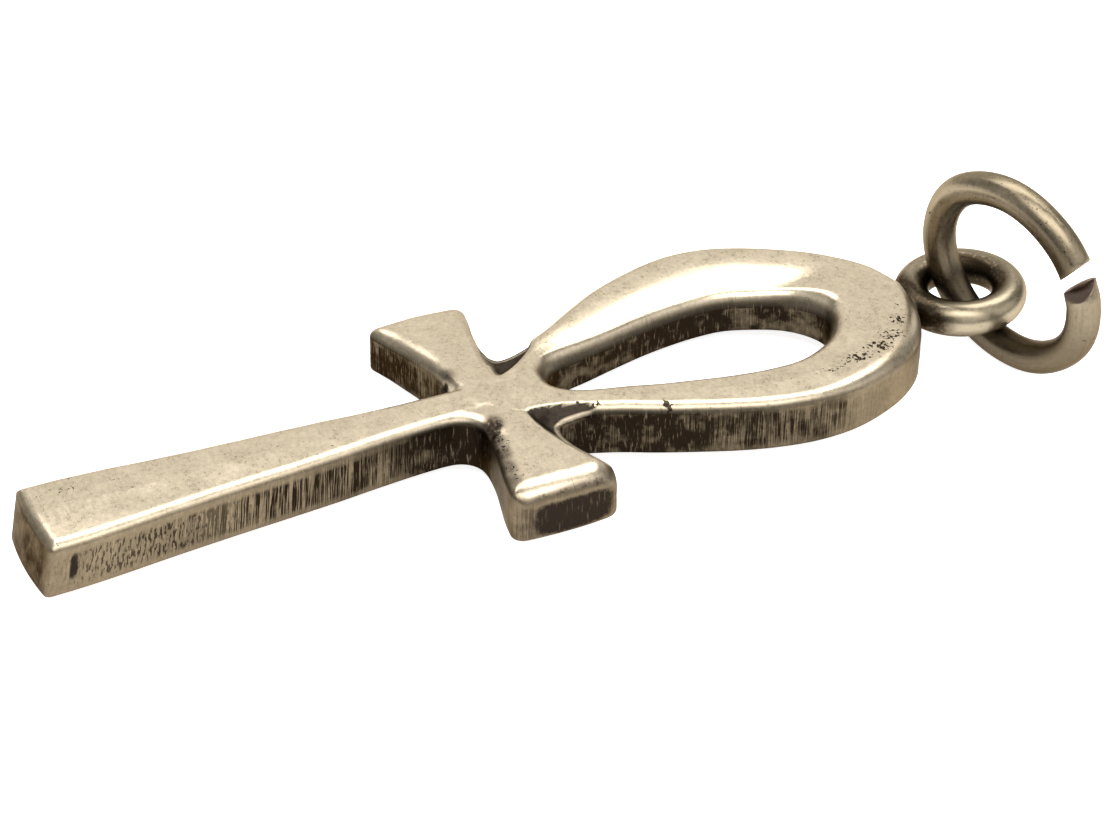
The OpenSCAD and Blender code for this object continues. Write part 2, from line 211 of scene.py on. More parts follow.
def smooth_rows(table, steps=6):
    """The table's rows with a smooth curve drawn through every column."""
    t = np.array(table)
    p = np.vstack([t[:1], t, t[-1:]])
    f = np.linspace(0, 1, steps, endpoint=False)[:, None]
    rows = []
    for a, b, c, d in zip(p, p[1:], p[2:], p[3:]):
        bend = 2 * a - 5 * b + 4 * c - d
        twist = 3 * b - a - 3 * c + d
        rows.append(0.5 * (2 * b + (c - a) * f + bend * f**2 + twist * f**3))
    return np.vstack(rows + [t[-1:]])


STEM_ROWS, LOOP_ROWS = smooth_rows(STEM), smooth_rows(LOOP)
RIGHT_ROWS, LEFT_ROWS = smooth_rows(RIGHT_ARM), smooth_rows(LEFT_ARM)


def hoop(rows, length, half):
    """A closed line from rows of its share of the length and of its right and left half widths."""
    along, right, left = rows.T
    right_side = np.stack([right * half, along * length], 1)
    left_side = np.stack([-left * half, along * length], 1)[::-1]
    return np.vstack([right_side, left_side[1:-1]])


LOOP_LINE = hoop(LOOP_ROWS[:, :3], LOOP_L, LOOP_HALF)
HOLE_LINE = hoop(LOOP_ROWS[:, 3:], HOLE_L, HOLE_HALF)


def depth_in(x, y, line):
    """Distance inside a closed line, negative outside it."""
    out = np.empty(len(x))
    a, b = line, np.roll(line, -1, 0)
    ab = b - a
    size = (ab**2).sum(1)
    level = np.where(ab[:, 1] == 0, 1, ab[:, 1])
    for start in range(0, len(x), BATCH):
        part = slice(start, start + BATCH)
        px, py = x[part, None] - a[:, 0], y[part, None] - a[:, 1]
        t = np.clip((px * ab[:, 0] + py * ab[:, 1]) / size, 0, 1)
        d = np.hypot(px - t * ab[:, 0], py - t * ab[:, 1]).min(1)
        height = y[part, None]
        crosses = (a[:, 1] > height) != (b[:, 1] > height)
        right_of = px < ab[:, 0] * py / level
        inside = (crosses & right_of).sum(1) % 2 == 1
        out[part] = np.where(inside, d, -d)
    return out


def above_zero(value):
    return np.clip(value, 0, None)


def rising(value, start, over):
    """0 up to the start, 1 once the value is over past it, straight between."""
    return np.clip((value - start) / over, 0, 1)


def drop(s, w, h):
    """How far the rounded edge lies below the top, at a distance s in from the outline."""
    t = np.clip(1 - s / w, 0, 1)
    return h * (1 - np.sqrt(1 - t * t)) + FORK_SLOPE * above_zero(-s)


def together(*drops):
    """Several edges' drops as one, rounded where they meet."""
    return sum(d**3 for d in drops) ** (1 / 3)


def corner(a, b, r):
    """Distance in from two edges that meet in a corner of radius r."""
    rounded = r - np.hypot(above_zero(r - a), above_zero(r - b))
    return np.where(np.minimum(a, b) < r, rounded, np.minimum(a, b))


def blend_min(a, b, k):
    """The lower of two values, rounded over k where they are near each other."""
    h = above_zero(k - np.abs(a - b)) / k
    return np.minimum(a, b) - h * h * k / 4


def stem_shape(x, y):
    """Distance in from the stem's sides and end, and the height of its top."""
    along, rows = -y, STEM_ROWS[:, 0] * STEM_L
    right = STEM_HALF * np.interp(along, rows, STEM_ROWS[:, 1]) - x
    left = STEM_HALF * np.interp(along, rows, STEM_ROWS[:, 2]) + x
    end = STEM_L - STEM_BULGE * (x / STEM_HALF) ** 2 - along
    root = along + STEM_ROOT
    round_end = SHOULDER_W / 2
    s = corner(corner(right, end, round_end), corner(left, end, round_end), SHARP)
    fall = together(
        drop(right, SHOULDER_W, SHOULDER_H),
        drop(left, SHOULDER_W * LEFT_SHOULDER, SHOULDER_H * LEFT_SHOULDER),
        drop(end, SHOULDER_W, SHOULDER_H),
    )
    crown = CROWN_H * np.clip(np.minimum(right, left) / STEM_HALF, 0, 1)
    return np.minimum(s, root), PLATE_T + crown - fall - above_zero(-root)


def arm_shape(x, y, rows, reach, thin, corners, bevel):
    """The same for an arm that points to +X. Its stem side is bevelled wider."""
    at = [np.interp(x, rows[:, 0] * reach, rows[:, k]) for k in range(1, 5)]
    low, high = y + ARM_W * at[0], ARM_W * at[1] - y
    middle = ARM_W * (at[1] - at[0]) / 2
    out = above_zero(x) / reach
    end = reach - ARM_BULGE * (2 * (y - middle) / ARM_W) ** 2 * out - x
    root = x + ARM_ROOT
    low_end, high_end = corner(low, end, corners[0]), corner(high, end, corners[1])
    # The shoulders have half their width by the crossing
    narrow = 0.5 + 0.5 * rising(x, 1.4, 1.4)
    fall = together(
        drop(low_end, ARM_SHOULDER_W * bevel * at[2] * narrow, SHOULDER_H * bevel * at[2]),
        drop(high_end, ARM_SHOULDER_W * at[3] * narrow, SHOULDER_H * at[3]),
        drop(end, SHOULDER_W * ARM_END_SHOULDER, SHOULDER_H * ARM_END_SHOULDER),
    )
    crown = CROWN_H * np.clip(2 * np.minimum(low, high) / ARM_W, 0, 1)
    z = PLATE_T + crown - thin * out**2 - fall - above_zero(-root)
    return np.minimum(corner(low_end, high_end, SHARP), root), z


def loop_shape(x, y):
    """The same for the loop, between its outer line and its hole."""
    s_out, s_in = np.full(len(x), -9.0), np.full(len(x), 9.0)
    near = y > -2.5
    s_out[near] = depth_in(x[near], y[near], LOOP_LINE)
    s_in[near] = -depth_in(x[near], y[near], HOLE_LINE)
    f = 1 + (LEFT_SHOULDER - 1) * rising(-x, 0, HOLE_HALF)
    f += WORN_END * rising(y, 11, 4) * rising(x, 0, 4)
    far = rising(-x, 0.4, 2.2)
    far = far * far * (3 - 2 * far)
    # The outer shoulder has half its width by the crossing
    narrow = 0.5 + 0.5 * rising(y, 1.2, 2)
    inner = drop(s_in, INNER_W * (1 - FAR_INNER * far), INNER_H * (1 - FAR_INNER * far))
    fall = together(drop(s_out, SHOULDER_W * f * narrow, SHOULDER_H * f), inner)
    crown = CROWN_H * np.clip(np.minimum(s_out, s_in) / 1.5, 0, 1)
    across = above_zero(s_out) / np.maximum(above_zero(s_out) + above_zero(s_in), 0.1)
    return np.minimum(s_out, s_in), PLATE_T + crown - fall - LOOP_DISH * across**2 * far


def unfiled_shape(x, y):
    """Distance outside the plate's outline, negative inside, and the top's height before filing."""
    left_l = ARM_L + LEFT_EXTRA_L
    stem_s, stem_z = stem_shape(x, y)
    right_s, right_z = arm_shape(x, y, RIGHT_ROWS, ARM_L, 0.0, RIGHT_CORNERS, RIGHT_BEVEL)
    left_s, left_z = arm_shape(-x, y, LEFT_ROWS, left_l, LEFT_THIN, LEFT_CORNERS, LEFT_BEVEL)
    loop_s, loop_z = loop_shape(x, y)
    arms = np.minimum(-right_s, -left_s)
    outside = blend_min(blend_min(arms, -stem_s, STEM_FORK), -loop_s, LOOP_FORK)
    z = blend_min(-right_z, -left_z, VALLEY)
    z = -blend_min(blend_min(z, -stem_z, VALLEY), -loop_z, VALLEY)
    turned = PLATE_T - drop(-outside, SHOULDER_W, SHOULDER_H)
    turned -= above_zero(np.hypot(x - TURNED_X, y - TURNED_Y) - TURNED_REACH) * TURNED_SLOPE
    z = -blend_min(-z, -turned, VALLEY / 2)
    to_corner = np.hypot(x - WORN_CORNER[0], y - WORN_CORNER[1])
    z -= WORN_DEPTH * np.clip(1 - to_corner / WORN_REACH, 0, 1) ** 2
    level = PLATE_T + LEVEL_H + LEVEL_SLOPE * above_zero(np.hypot(x, y - LEVEL_Y) - LEVEL_REACH)
    return outside, blend_min(z, level, 0.02)


def cut_into(x, y):
    """How far the file went into the loop forks, negative outside them."""
    deep = np.full(len(x), UNCUT)
    for cx, cy, side, rise, run, turn in FORK_CUTS:
        u, v = side * (x - cx), y - cy
        over_arm = v - rise * u**2
        off_loop = (u - run * v - turn * v**2) / hypot(1, run)
        cut = blend_min(over_arm, off_loop, CUT_ROUND) - above_zero(v - CUT_END)
        deep = np.maximum(deep, cut)
    return deep


def filed_level(x, y):
    """Height left by the file in the loop forks."""
    return PLATE_T + CROWN_H - np.clip(CUT_SLOPE * cut_into(x, y), UNCUT, CUT_DEPTH)


def cut_darkening(x, y):
    """How much darker the file cut's facets are in the loop forks, growing with the cut's depth."""
    deep = cut_into(x, y) / np.where(x > 0, *CUT_TONE)
    fade = rising(CUT_REACH - np.abs(x), 0, 0.5)
    lip = rising(-unfiled_shape(x, y)[0], CUT_LIP, 0.04)
    return np.clip(deep, 0, 1) * fade * lip


def plate_shape(x, y):
    """Distance outside the plate's outline, negative inside, and the height of its top."""
    outside, z = unfiled_shape(x, y)
    return outside, blend_min(z, filed_level(x, y), VALLEY)


def outside_plate(p):
    return plate_shape(p[:, 0], p[:, 1])[0]


def top_height(p):
    return plate_shape(p[:, 0], p[:, 1])[1]


def outward(p, e=0.01):
    """How far points lie outside the outline, and the direction in which that grows."""
    n = len(p)
    f = outside_plate(np.vstack([p, p + (e, 0), p + (0, e)]))
    return f[:n], np.stack([f[n:2 * n] - f[:n], f[2 * n:] - f[:n]], 1) / e


def onto(p, level, times=3):
    """Moves points to where they lie level outside the outline."""
    for _ in range(times):
        f, g = outward(p)
        p = p - g * ((f - level) / np.maximum((g**2).sum(1), 0.2))[:, None]
    return p


def in_even_steps(line):
    """The closed line in even steps, and how far along it each point lies."""
    closed = np.vstack([line, line[:1]])
    run = np.append(0, np.cumsum(np.hypot(*np.diff(closed, axis=0).T)))
    count = int(run[-1] / OUTLINE_STEP)
    at = np.linspace(0, run[-1], count, endpoint=False)
    even = np.stack([np.interp(at, run, closed[:, k]) for k in (0, 1)], 1)
    return onto(even, 0, 2), at


def trace_outline(start, fewest=20, most=4000):
    """Follows the plate's outline round from a point near it."""
    p = onto(np.array([start]), 0)
    line = [p[0]]
    while len(line) < most:
        _, g = outward(p)
        t = np.array([[-g[0, 1], g[0, 0]]]) / np.hypot(*g[0])
        p = onto(p + t * OUTLINE_STEP / 2, 0, 2)
        line.append(p[0])
        if len(line) > fewest and np.hypot(*(p[0] - line[0])) < OUTLINE_STEP * 0.4:
            break
    return in_even_steps(np.array(line))


def joined_faces(faces, first, walls):
    """The faces that can be reached from the first one without stepping over a wall."""
    edges = [[frozenset(edge) for edge in zip(face, face[1:] + face[:1])] for face in faces]
    beside = {}
    for k, around in enumerate(edges):
        for edge in around:
            beside.setdefault(edge, []).append(k)
    reached, waiting = {first}, [first]
    while waiting:
        open_edges = [edge for edge in edges[waiting.pop()] if edge not in walls]
        fresh = {k for edge in open_edges for k in beside[edge]} - reached
        reached |= fresh
        waiting += fresh
    return sorted(reached)


def uncrowded(ring, line, tries=40):
    """Spreads out the points of a ring that a sharp corner has pushed together."""
    along = np.roll(line, -1, 0) - line
    for _ in range(tries):
        step = np.roll(ring, -1, 0) - ring
        tight = (step * along).sum(1) < 0.15 * (along**2).sum(1)
        if not tight.any():
            break
        tight |= np.roll(tight, 1) | np.roll(tight, -1)
        middle = (np.roll(ring, 1, 0) + np.roll(ring, -1, 0)) / 2
        ring = np.where(tight[:, None], middle, ring)
    return ring


def fill_between(outer, hole, inside_points):
    """Triangles that fill the space inside the outer line, round the hole."""
    edges, base = [], 0
    for line in (outer, hole):
        n = len(line)
        edges += [(base + k, base + (k + 1) % n) for k in range(n)]
        base += n
    points = [Vector(p) for p in np.vstack([outer, hole, inside_points])]
    verts, _, faces, _, _, _ = delaunay_2d_cdt(points, edges, [], 0, 1e-7)
    verts = np.array([tuple(v) for v in verts])
    faces = [tuple(f) for f in faces]
    x, y = verts[faces].mean(1).T
    depth = np.minimum(depth_in(x, y, outer), -depth_in(x, y, hole))
    keep = joined_faces(faces, int(depth.argmax()), {frozenset(edge) for edge in edges})
    return verts, np.array(faces)[keep]


def joined_up(rings):
    """Quads between each closed ring and the next, from the numbers of their points."""
    faces = []
    for a, b in zip(rings, rings[1:]):
        faces += np.stack([a, np.roll(a, -1), np.roll(b, -1), b], 1).tolist()
    return faces


def turned_over(faces):
    return [face[::-1] for face in faces]


def end_caps(rings):
    return [rings[0].tolist(), rings[-1][::-1].tolist()]


def uneven(x, y, size):
    """Gentle handmade unevenness, about 1 high."""
    a = np.sin(x * 2.1 / size + 1.3) * np.sin(y * 1.7 / size + 0.4)
    b = np.sin((x + 0.6 * y) * 3.3 / size + 2.0) * np.cos((y - 0.5 * x) * 2.9 / size)
    return 0.6 * a + 0.4 * b


# The floor's upward direction seen from the flat pendant, and the turn that brings it upright
REST_UP = Vector((0.0584592, 0.0168227, 0.998148))
UPRIGHT = Vector((0, 0, 1))
LEAN = Matrix.Rotation(REST_UP.angle(UPRIGHT), 4, REST_UP.cross(UPRIGHT))


def at_rest(points):
    """Millimetres on the flat pendant to metres in the frame."""
    m = np.array(LEAN.to_3x3())
    return np.asarray(points) @ m.T * MM


def leaned(points):
    """The stem's end face leans back."""
    p = np.array(points, float)
    out = above_zero(-p[:, 1]) / STEM_L
    p[:, 1] += STEM_LEAN * p[:, 2] / PLATE_T * out
    return p


def in_scene(name, data):
    """A new object in the scene."""
    thing = bpy.data.objects.new(name, data)
    scene.collection.objects.link(thing)
    return thing


def mesh_piece(name, points, faces, marks, stands_for, material):
    """A piece from points on the flat pendant, with values painted on its points."""
    mesh = bpy.data.meshes.new(name)
    mesh.from_pydata(at_rest(points).tolist(), [], faces)
    for mark, values in marks.items():
        values = np.asarray(values, np.float32)
        kind, field = ("FLOAT_VECTOR", "vector") if values.ndim == 2 else ("FLOAT", "value")
        layer = mesh.attributes.new(mark, kind, "POINT")
        layer.data.foreach_set(field, values.ravel())
    mesh.shade_smooth()
    mesh.validate()
    mesh.materials.append(material)
    piece = in_scene(name, mesh)
    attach(piece, "root")
    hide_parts(stands_for)
    return piece


# How the walls look near places on the outline: x, y, reach, smoke, striae, dashes
WALL_TONES = [
    (2.15, -16.7, 0.5, 0.1, 0.2, 0.2),
    (2.0, -15.2, 1.5, 0.1, 0.2, 0.8),
    (1.8, -12.6, 1.5, 0.15, 0.4, 1.0),
    (1.6, -10.0, 1.3, 0.15, 1.0, 0.5),
    (1.3, -7.5, 1.5, 0.3, 1.1, 0.1),
    (1.1, -4.8, 1.3, 0.5, 1.1, 0.0),
    (1.1, -2.6, 1.0, 1.1, 0.6, 0.0),
    (1.7, -1.2, 0.8, 1.2, 0.5, 0.0),
    (3.4, -1.1, 0.9, 0.6, 0.4, 0.0),
    (5.6, -1.6, 1.0, 0.45, 0.5, 0.0),
    (6.5, 0.2, 1.0, 0.3, 0.6, 0.0),
    (5.6, 2.4, 1.0, 0.3, 0.4, 0.0),
    (3.4, 1.6, 0.9, 0.9, 0.4, 0.0),
    (2.6, 3.2, 0.9, 0.95, 0.4, 0.0),
    (3.7, 5.2, 1.2, 1.1, 0.5, 0.0),
    (4.7, 7.5, 1.3, 0.72, 0.8, 0.0),
    (5.4, 9.6, 1.2, 0.55, 0.9, 0.0),
    (5.6, 11.4, 0.9, 0.45, 1.0, 0.0),
    (5.3, 13.0, 0.8, 0.05, 0.3, 0.0),
    (4.4, 15.4, 1.2, 0.0, 0.0, 0.0),
    (2.4, 17.4, 1.2, 0.05, 0.1, 0.0),
    (0.0, 18.0, 1.2, 0.35, 0.2, 0.0),
    (-4.0, 16.0, 2.0, 0.3, 0.4, 0.2),
    (-5.9, 11.0, 2.5, 0.5, 0.8, 0.2),
    (-4.6, 6.5, 2.0, 0.7, 0.8, 0.0),
    (-2.6, 2.6, 1.2, 0.9, 0.3, 0.0),
    (-5.4, 1.5, 1.5, 0.4, 0.5, 0.0),
    (-6.7, 0.0, 1.0, 0.35, 0.5, 0.0),
    (-5.0, -1.7, 1.3, 0.95, 0.9, 0.0),
    (-2.2, -0.9, 1.0, 0.6, 0.6, 0.0),
    (-1.0, -4.0, 2.0, 0.6, 0.9, 0.0),
    (-1.5, -10.0, 3.0, 0.3, 0.9, 0.4),
    (-1.9, -15.5, 2.0, 0.15, 0.4, 0.8),
    (0.0, -17.6, 1.3, 1.0, 0.15, 0.0),
    (-2.6, 9.0, 3.0, 1.15, 0.1, 0.0),
    (-1.2, 4.5, 1.6, 0.95, 0.1, 0.0),
    (0.0, 2.8, 0.9, 0.45, 0.1, 0.0),
    (1.5, 5.0, 2.0, 0.8, 0.3, 0.0),
    (2.7, 10.0, 3.0, 0.8, 0.3, 0.0),
    (0.0, 14.6, 1.4, 1.0, 0.1, 0.0),
]
# Dark places on the walls and their edges: x, y, height, reach in plan, reach in height, amount
DARK_PLACES = [
    (2.02, -16.5, 1.05, 0.2, 0.6, 0.75),
    (1.7, -10.6, 1.6, 0.07, 0.22, 1.0),
    (6.45, 0.5, 0.75, 1.65, 0.72, 1.0),
    (5.75, 11.7, 0.75, 0.2, 0.4, 1.0),
    (-1.5, -0.95, 1.6, 0.3, 0.3, 0.7),
    (3.3, -1.05, 1.85, 0.25, 0.25, 0.5),
    (2.75, -0.9, 1.9, 0.2, 0.2, 0.5),
    (2.15, -0.52, 1.8, 0.42, 0.5, 0.62),
    (2.45, -0.65, 1.8, 0.3, 0.4, 0.6),
    (6.6, -0.8, 1.74, 0.5, 0.14, 0.5),
    (6.65, 0.1, 1.74, 0.5, 0.14, 0.45),
    (6.65, 0.9, 1.74, 0.5, 0.14, 0.5),
    (6.5, 1.6, 1.7, 0.5, 0.2, 0.45),
]
# Worked edges that kept a darker tarnish: x, y, reach along x, reach along y, amount
TARNISHED = [
    (1.9, -0.5, 0.45, 0.42, 1.0),
    (6.5, 0.5, 0.2, 2.0, 0.8),
    (2.7, -0.8, 0.5, 0.35, 0.9),
    (3.6, -0.95, 0.6, 0.32, 0.85),
    (4.5, -1.15, 0.6, 0.3, 0.8),
    (5.4, -1.35, 0.6, 0.3, 0.75),
    (6.1, -1.5, 0.5, 0.3, 0.6),
    (-1.8, -0.75, 0.5, 0.4, 0.8),
    (-2.8, -0.95, 0.7, 0.3, 0.3),
    (-4.0, -1.25, 0.8, 0.3, 0.15),
    (-6.2, -1.8, 0.5, 0.4, 0.15),
]
# Places of the top with corrosion pits: x, y, reach along x, reach along y, amount
PITTED = [
    (4.3, 12.2, 0.3, 0.7, 0.7),
    (4.05, 13.6, 0.35, 0.8, 1.0),
    (3.75, 14.7, 0.4, 0.7, 1.05),
    (3.2, 15.5, 0.45, 0.5, 1.0),
    (2.5, 16.3, 0.5, 0.4, 0.85),
    (1.6, 16.9, 0.5, 0.3, 0.5),
    (3.58, 5.72, 0.3, 0.13, 2.0),
    (2.15, 2.8, 0.16, 0.13, 1.2),
    (2.43, 3.4, 0.16, 0.35, 1.0),
    (3.2, -0.7, 0.7, 0.3, 0.7),
    (5.0, -1.1, 0.9, 0.3, 0.6),
    (-0.4, -13.8, 0.8, 0.3, 0.35),
    (-1.0, -16.0, 0.9, 1.2, 0.3),
    (0.0, 3.0, 0.7, 0.3, 0.7),
]


def near_places(points, places, count):
    """The tones of the places, mixed by how near each point lies to them."""
    x, y = points[:, 0], points[:, 1]
    total, tones = np.full(len(x), 1e-9), np.zeros((len(x), count))
    for place in places:
        w = np.exp(-((x - place[0]) ** 2 + (y - place[1]) ** 2) / place[2] ** 2) + 1e-7
        total += w
        tones += w[:, None] * np.array(place[3:])
    return tones / total[:, None]


def flat_spots(points, places):
    """Soft spots painted on the points, of every height."""
    paint = np.zeros(len(points))
    for x, y, reach_x, reach_y, amount in places:
        d = ((points[:, 0] - x) / reach_x) ** 2 + ((points[:, 1] - y) / reach_y) ** 2
        paint = np.maximum(paint, amount * np.exp(-d**2))
    return paint


def solid_spots(points, places):
    """Soft spots painted on the points near a place and its height."""
    paint = np.zeros(len(points))
    for x, y, z, plan, height, amount in places:
        flat = ((points[:, 0] - x) ** 2 + (points[:, 1] - y) ** 2) / plan**2
        d = np.hypot(flat, ((points[:, 2] - z) / height) ** 2)
        paint = np.maximum(paint, amount * np.exp(-d**2))
    return paint


class Skin:
    """The plate's points and faces as they are added, with what its walls' paint needs."""

    def __init__(self):
        self.points, self.faces, self.wall, self.place = [], [], [], []
        self.total = 0

    def add(self, xy, z, wall, run, up):
        """Adds points and gives their numbers."""
        z = np.broadcast_to(z, len(xy))
        self.points.append(np.column_stack([xy, z]))
        self.wall.append(np.full(len(xy), float(wall)))
        self.place.append(np.column_stack([run, z, np.broadcast_to(up, len(xy))]))
        self.total += len(xy)
        return np.arange(self.total - len(xy), self.total)

    def add_walls(self, line, run):
        """Rings from the back up the wall. Gives the lowest ring and the numbers of all."""
        back = [onto(line, -inset) if inset else line for inset, _ in BACK_EDGE]
        rings = [self.add(ring, z, 1, run, 0.0) for ring, (_, z) in zip(back, BACK_EDGE)]
        low, rim = BACK_EDGE[-1][1], top_height(line)
        _, away = outward(line)
        away /= np.hypot(away[:, 0], away[:, 1])[:, None]
        for k in range(1, WALL_LEVELS + 1):
            z = low + (rim - low) * k / WALL_LEVELS
            wave = HAND_WAVE * uneven(run, z * 3, WALL_WAVE_L) * sin(pi * k / WALL_LEVELS)
            rings.append(self.add(line + away * wave[:, None], z, 1, run, k / WALL_LEVELS))
        return back[0], rings

    def add_edge(self, line, run):
        """Rings in over the worked edge. Gives the innermost ring and the numbers of all."""
        rings, ring = [], line
        for inset in EDGE_RINGS:
            ring = uncrowded(onto(ring, -inset, 2), line)
            wall = max(0, 1 - inset / WALL_FADE)
            rings.append(self.add(ring, top_height(ring), wall, run, 1 + inset))
        return ring, rings

    def add_outline(self, start):
        """The wall and worked edge along an outline. Gives the lines and numbers of both ends."""
        line, run = trace_outline(start)
        back_line, walls = self.add_walls(line, run)
        top_line, edges = self.add_edge(line, run)
        self.faces += joined_up(walls + edges)
        return top_line, edges[-1], back_line, walls[0]

    def add_top(self, lines, rings):
        """The middle of the top, between the innermost rings."""
        x, y = np.meshgrid(np.arange(-7, 7, TOP_GRID), np.arange(-18, 18.2, TOP_GRID))
        x = x + (np.arange(x.shape[0]) % 2)[:, None] * TOP_GRID / 2
        grid = np.stack([x.ravel(), y.ravel()], 1)
        grid = grid[outside_plate(grid) < -EDGE_RINGS[-1] - TOP_GRID * 0.4]
        verts, faces = fill_between(*lines, grid)
        fresh = verts[sum(len(line) for line in lines):]
        number = self.add(fresh, top_height(fresh), 0, np.zeros(len(fresh)), 2.0)
        self.faces += np.concatenate([*rings, number])[faces].tolist()

    def add_back(self, lines, rings):
        """The back, between the lowest rings."""
        _, faces = fill_between(*lines, np.zeros((0, 2)))
        self.faces += np.concatenate(rings)[faces][:, ::-1].tolist()


def plate_marks(skin, points):
    """What is painted on the plate's points for its material."""
    x, y, z = points.T
    return {
        "filed": cut_darkening(x, y) * (z > 1.0),
        "tarnished": flat_spots(points, TARNISHED),
        "wall": np.concatenate(skin.wall),
        "wall_place": np.vstack(skin.place),
        "flat_place": points,
        "wall_tones": near_places(points, WALL_TONES, 3),
        "dark": solid_spots(points, DARK_PLACES),
        "pitted": flat_spots(points, PITTED),
    }


def make_plate(material):
    """The plate: its walls, its top with worked edges, and its back."""
    skin = Skin()
    ends = [skin.add_outline(start) for start in OUTLINE_STARTS]
    top_lines, top_rings, back_lines, back_rings = zip(*ends)
    skin.add_top(top_lines, top_rings)
    skin.add_back(back_lines, back_rings)
    points = np.vstack(skin.points)
    top = points[:, 2] > 0.8
    points[top, 2] += HAND_WAVE * uneven(points[top, 0], points[top, 1], TOP_WAVE_L)
    marks = plate_marks(skin, points)
    return mesh_piece("plate", leaned(points), skin.faces, marks, "ankh", material)


def bail_hoop(around=96, across=28):
    """The bail's round wire, tipped a little on the loop's end."""
    a = np.linspace(0, 2 * pi, around, endpoint=False)[:, None]
    b = np.linspace(0, 2 * pi, across, endpoint=False)[None]
    thick = (BAIL_WIRE + BAIL_PLUMP) / 2
    r = BAIL_R + thick * np.cos(b)
    points = np.stack([r * np.cos(a), r * np.sin(a), thick * np.sin(b) + 0 * a], 2).reshape(-1, 3)
    tip = np.array(Matrix.Rotation(radians(BAIL_TIP), 3, "X"))
    rings = [*np.arange(len(points)).reshape(around, across), np.arange(across)]
    return points @ tip.T + BAIL_CENTRE, turned_over(joined_up(rings))


def bail_solder(base, levels=12, sides=28):
    """A lump that narrows from the loop to the wire. Its points are numbered from the base."""
    a = np.linspace(0, 2 * pi, sides, endpoint=False)
    layers = []
    for k in range(levels + 1):
        t = k / levels
        rounding = sin(acos(min(1, max(-1, 1.9 * t - 1)))) ** 0.5
        width = 0.5 * (LUMP_W - LUMP_TAPER * t) * rounding
        x = BAIL_X + width * LUMP_ACROSS * np.cos(a)
        y = np.full(sides, LOOP_L - LUMP_IN + LUMP_L * t)
        layers.append(np.stack([x, y, BAIL_Z - LUMP_LOW + LUMP_HIGH * width * np.sin(a)], 1))
    rings = base + np.arange(len(layers) * sides).reshape(-1, sides)
    return np.vstack(layers), joined_up(rings) + end_caps(rings)


def melted(points, faces):
    """Bodies that touch, run together as solder does."""
    mesh = bpy.data.meshes.new("bail_blank")
    mesh.from_pydata(points.tolist(), [], faces)
    blank = in_scene("bail_blank", mesh)
    melt = blank.modifiers.new("melt", "REMESH")
    melt.mode = "VOXEL"
    melt.voxel_size = MELT_GRAIN
    relax = blank.modifiers.new("relax", "SMOOTH")
    relax.iterations = 8
    relax.factor = 0.5
    result = blank.evaluated_get(bpy.context.evaluated_depsgraph_get()).to_mesh()
    points = np.array([v.co[:] for v in result.vertices])
    faces = [list(p.vertices) for p in result.polygons]
    bpy.data.objects.remove(blank)
    return points, faces


def make_bail(material):
    """The bail ring with its solder, and painted shade low down and on its inner side."""
    wire, wire_faces = bail_hoop()
    solder, solder_faces = bail_solder(len(wire))
    points, faces = melted(np.vstack([wire, solder]), wire_faces + solder_faces)
    x, y, z = points.T
    round_ring = np.hypot(x - BAIL_CENTRE[0], y - BAIL_CENTRE[1])
    solder_part = np.clip(1.6 - np.abs(y - LOOP_L - 0.1) / 0.55, 0, 1)
    # Painted shade on the lower part of the ring; the solder mark carries it along with the solder's
    # own stain
    shade_below = 0.75 * rising(BAIL_Z - 0.15 - z, 0, 0.45)
    marks = {
        "solder": np.maximum(solder_part, shade_below),
        # Painted shade on the ring's inner side
        "inside": rising(BAIL_R + 0.1 - round_ring, 0, 0.35 * BAIL_WIRE),
        "flat_place": points,
    }
    return mesh_piece("bail_ring", points, faces, marks, "ankh", material)


def jump_axes():
    """The jump ring's own directions: out from the bail, up across it, and to its front."""
    turn, lean = radians(JUMP_TURN), radians(JUMP_LEAN)
    tip = sin(lean)
    out = np.array([cos(turn), sin(turn), 0])
    up = np.array([tip * sin(turn), -tip * cos(turn), cos(lean)])
    return out, up, np.cross(out, up)


def jump_centre(out, up):
    """Where the jump ring's centre lies, with its wire hanging in the bail."""
    hang_r = JUMP_R - JUMP_GAP - (BAIL_WIRE + JUMP_WIRE) / 2
    hang = radians(HANG_TURN)
    return BAIL_CENTRE + (BAIL_R + hang_r * cos(hang)) * out + hang_r * sin(hang) * up


def cut_angle(rho, side):
    """Angle round the ring at which a cut face lies, at a distance rho from the ring's centre."""
    slant = radians(CUT_SLANT)
    tilt = slant + side * atan((CUT_OUT - CUT_IN) / JUMP_WIRE / 2)
    n = np.array([-sin(tilt), cos(tilt)])
    off_middle = side * CUT_MIDDLE / 2 * np.array([-sin(slant), cos(slant)])
    c = (n @ (np.array([JUMP_R, 0]) + off_middle)) / rho
    return radians(CUT_TURN) + np.arctan2(n[1], n[0]) - np.arccos(np.clip(c, -1, 1))


def wire_section(share, scale, set_in):
    """A ring of points round the wire, at a share of the way between the cut faces."""
    rho = JUMP_R + scale * JUMP_WIRE / 2 * np.cos(WIRE_TURNS)
    first = cut_angle(rho, 1) + set_in / JUMP_R
    last = cut_angle(rho, -1) - set_in / JUMP_R + 2 * pi
    a = first + (last - first) * share
    return np.stack([rho * np.cos(a), rho * np.sin(a), scale * JUMP_WIRE / 2 * np.sin(WIRE_TURNS)], 1)


def wire_sections():
    """All rings of the wire, from the upper cut end to the lower, which has them closer."""
    shares = np.concatenate([np.linspace(0, 0.95, 150), np.linspace(0.955, 1, 28)])
    first = [wire_section(0, *ring) for ring in CUT_FACE]
    last = [wire_section(1, *ring) for ring in CUT_FACE[::-1]]
    return first + [wire_section(share, 1.0, CUT_BEVEL) for share in shares] + last


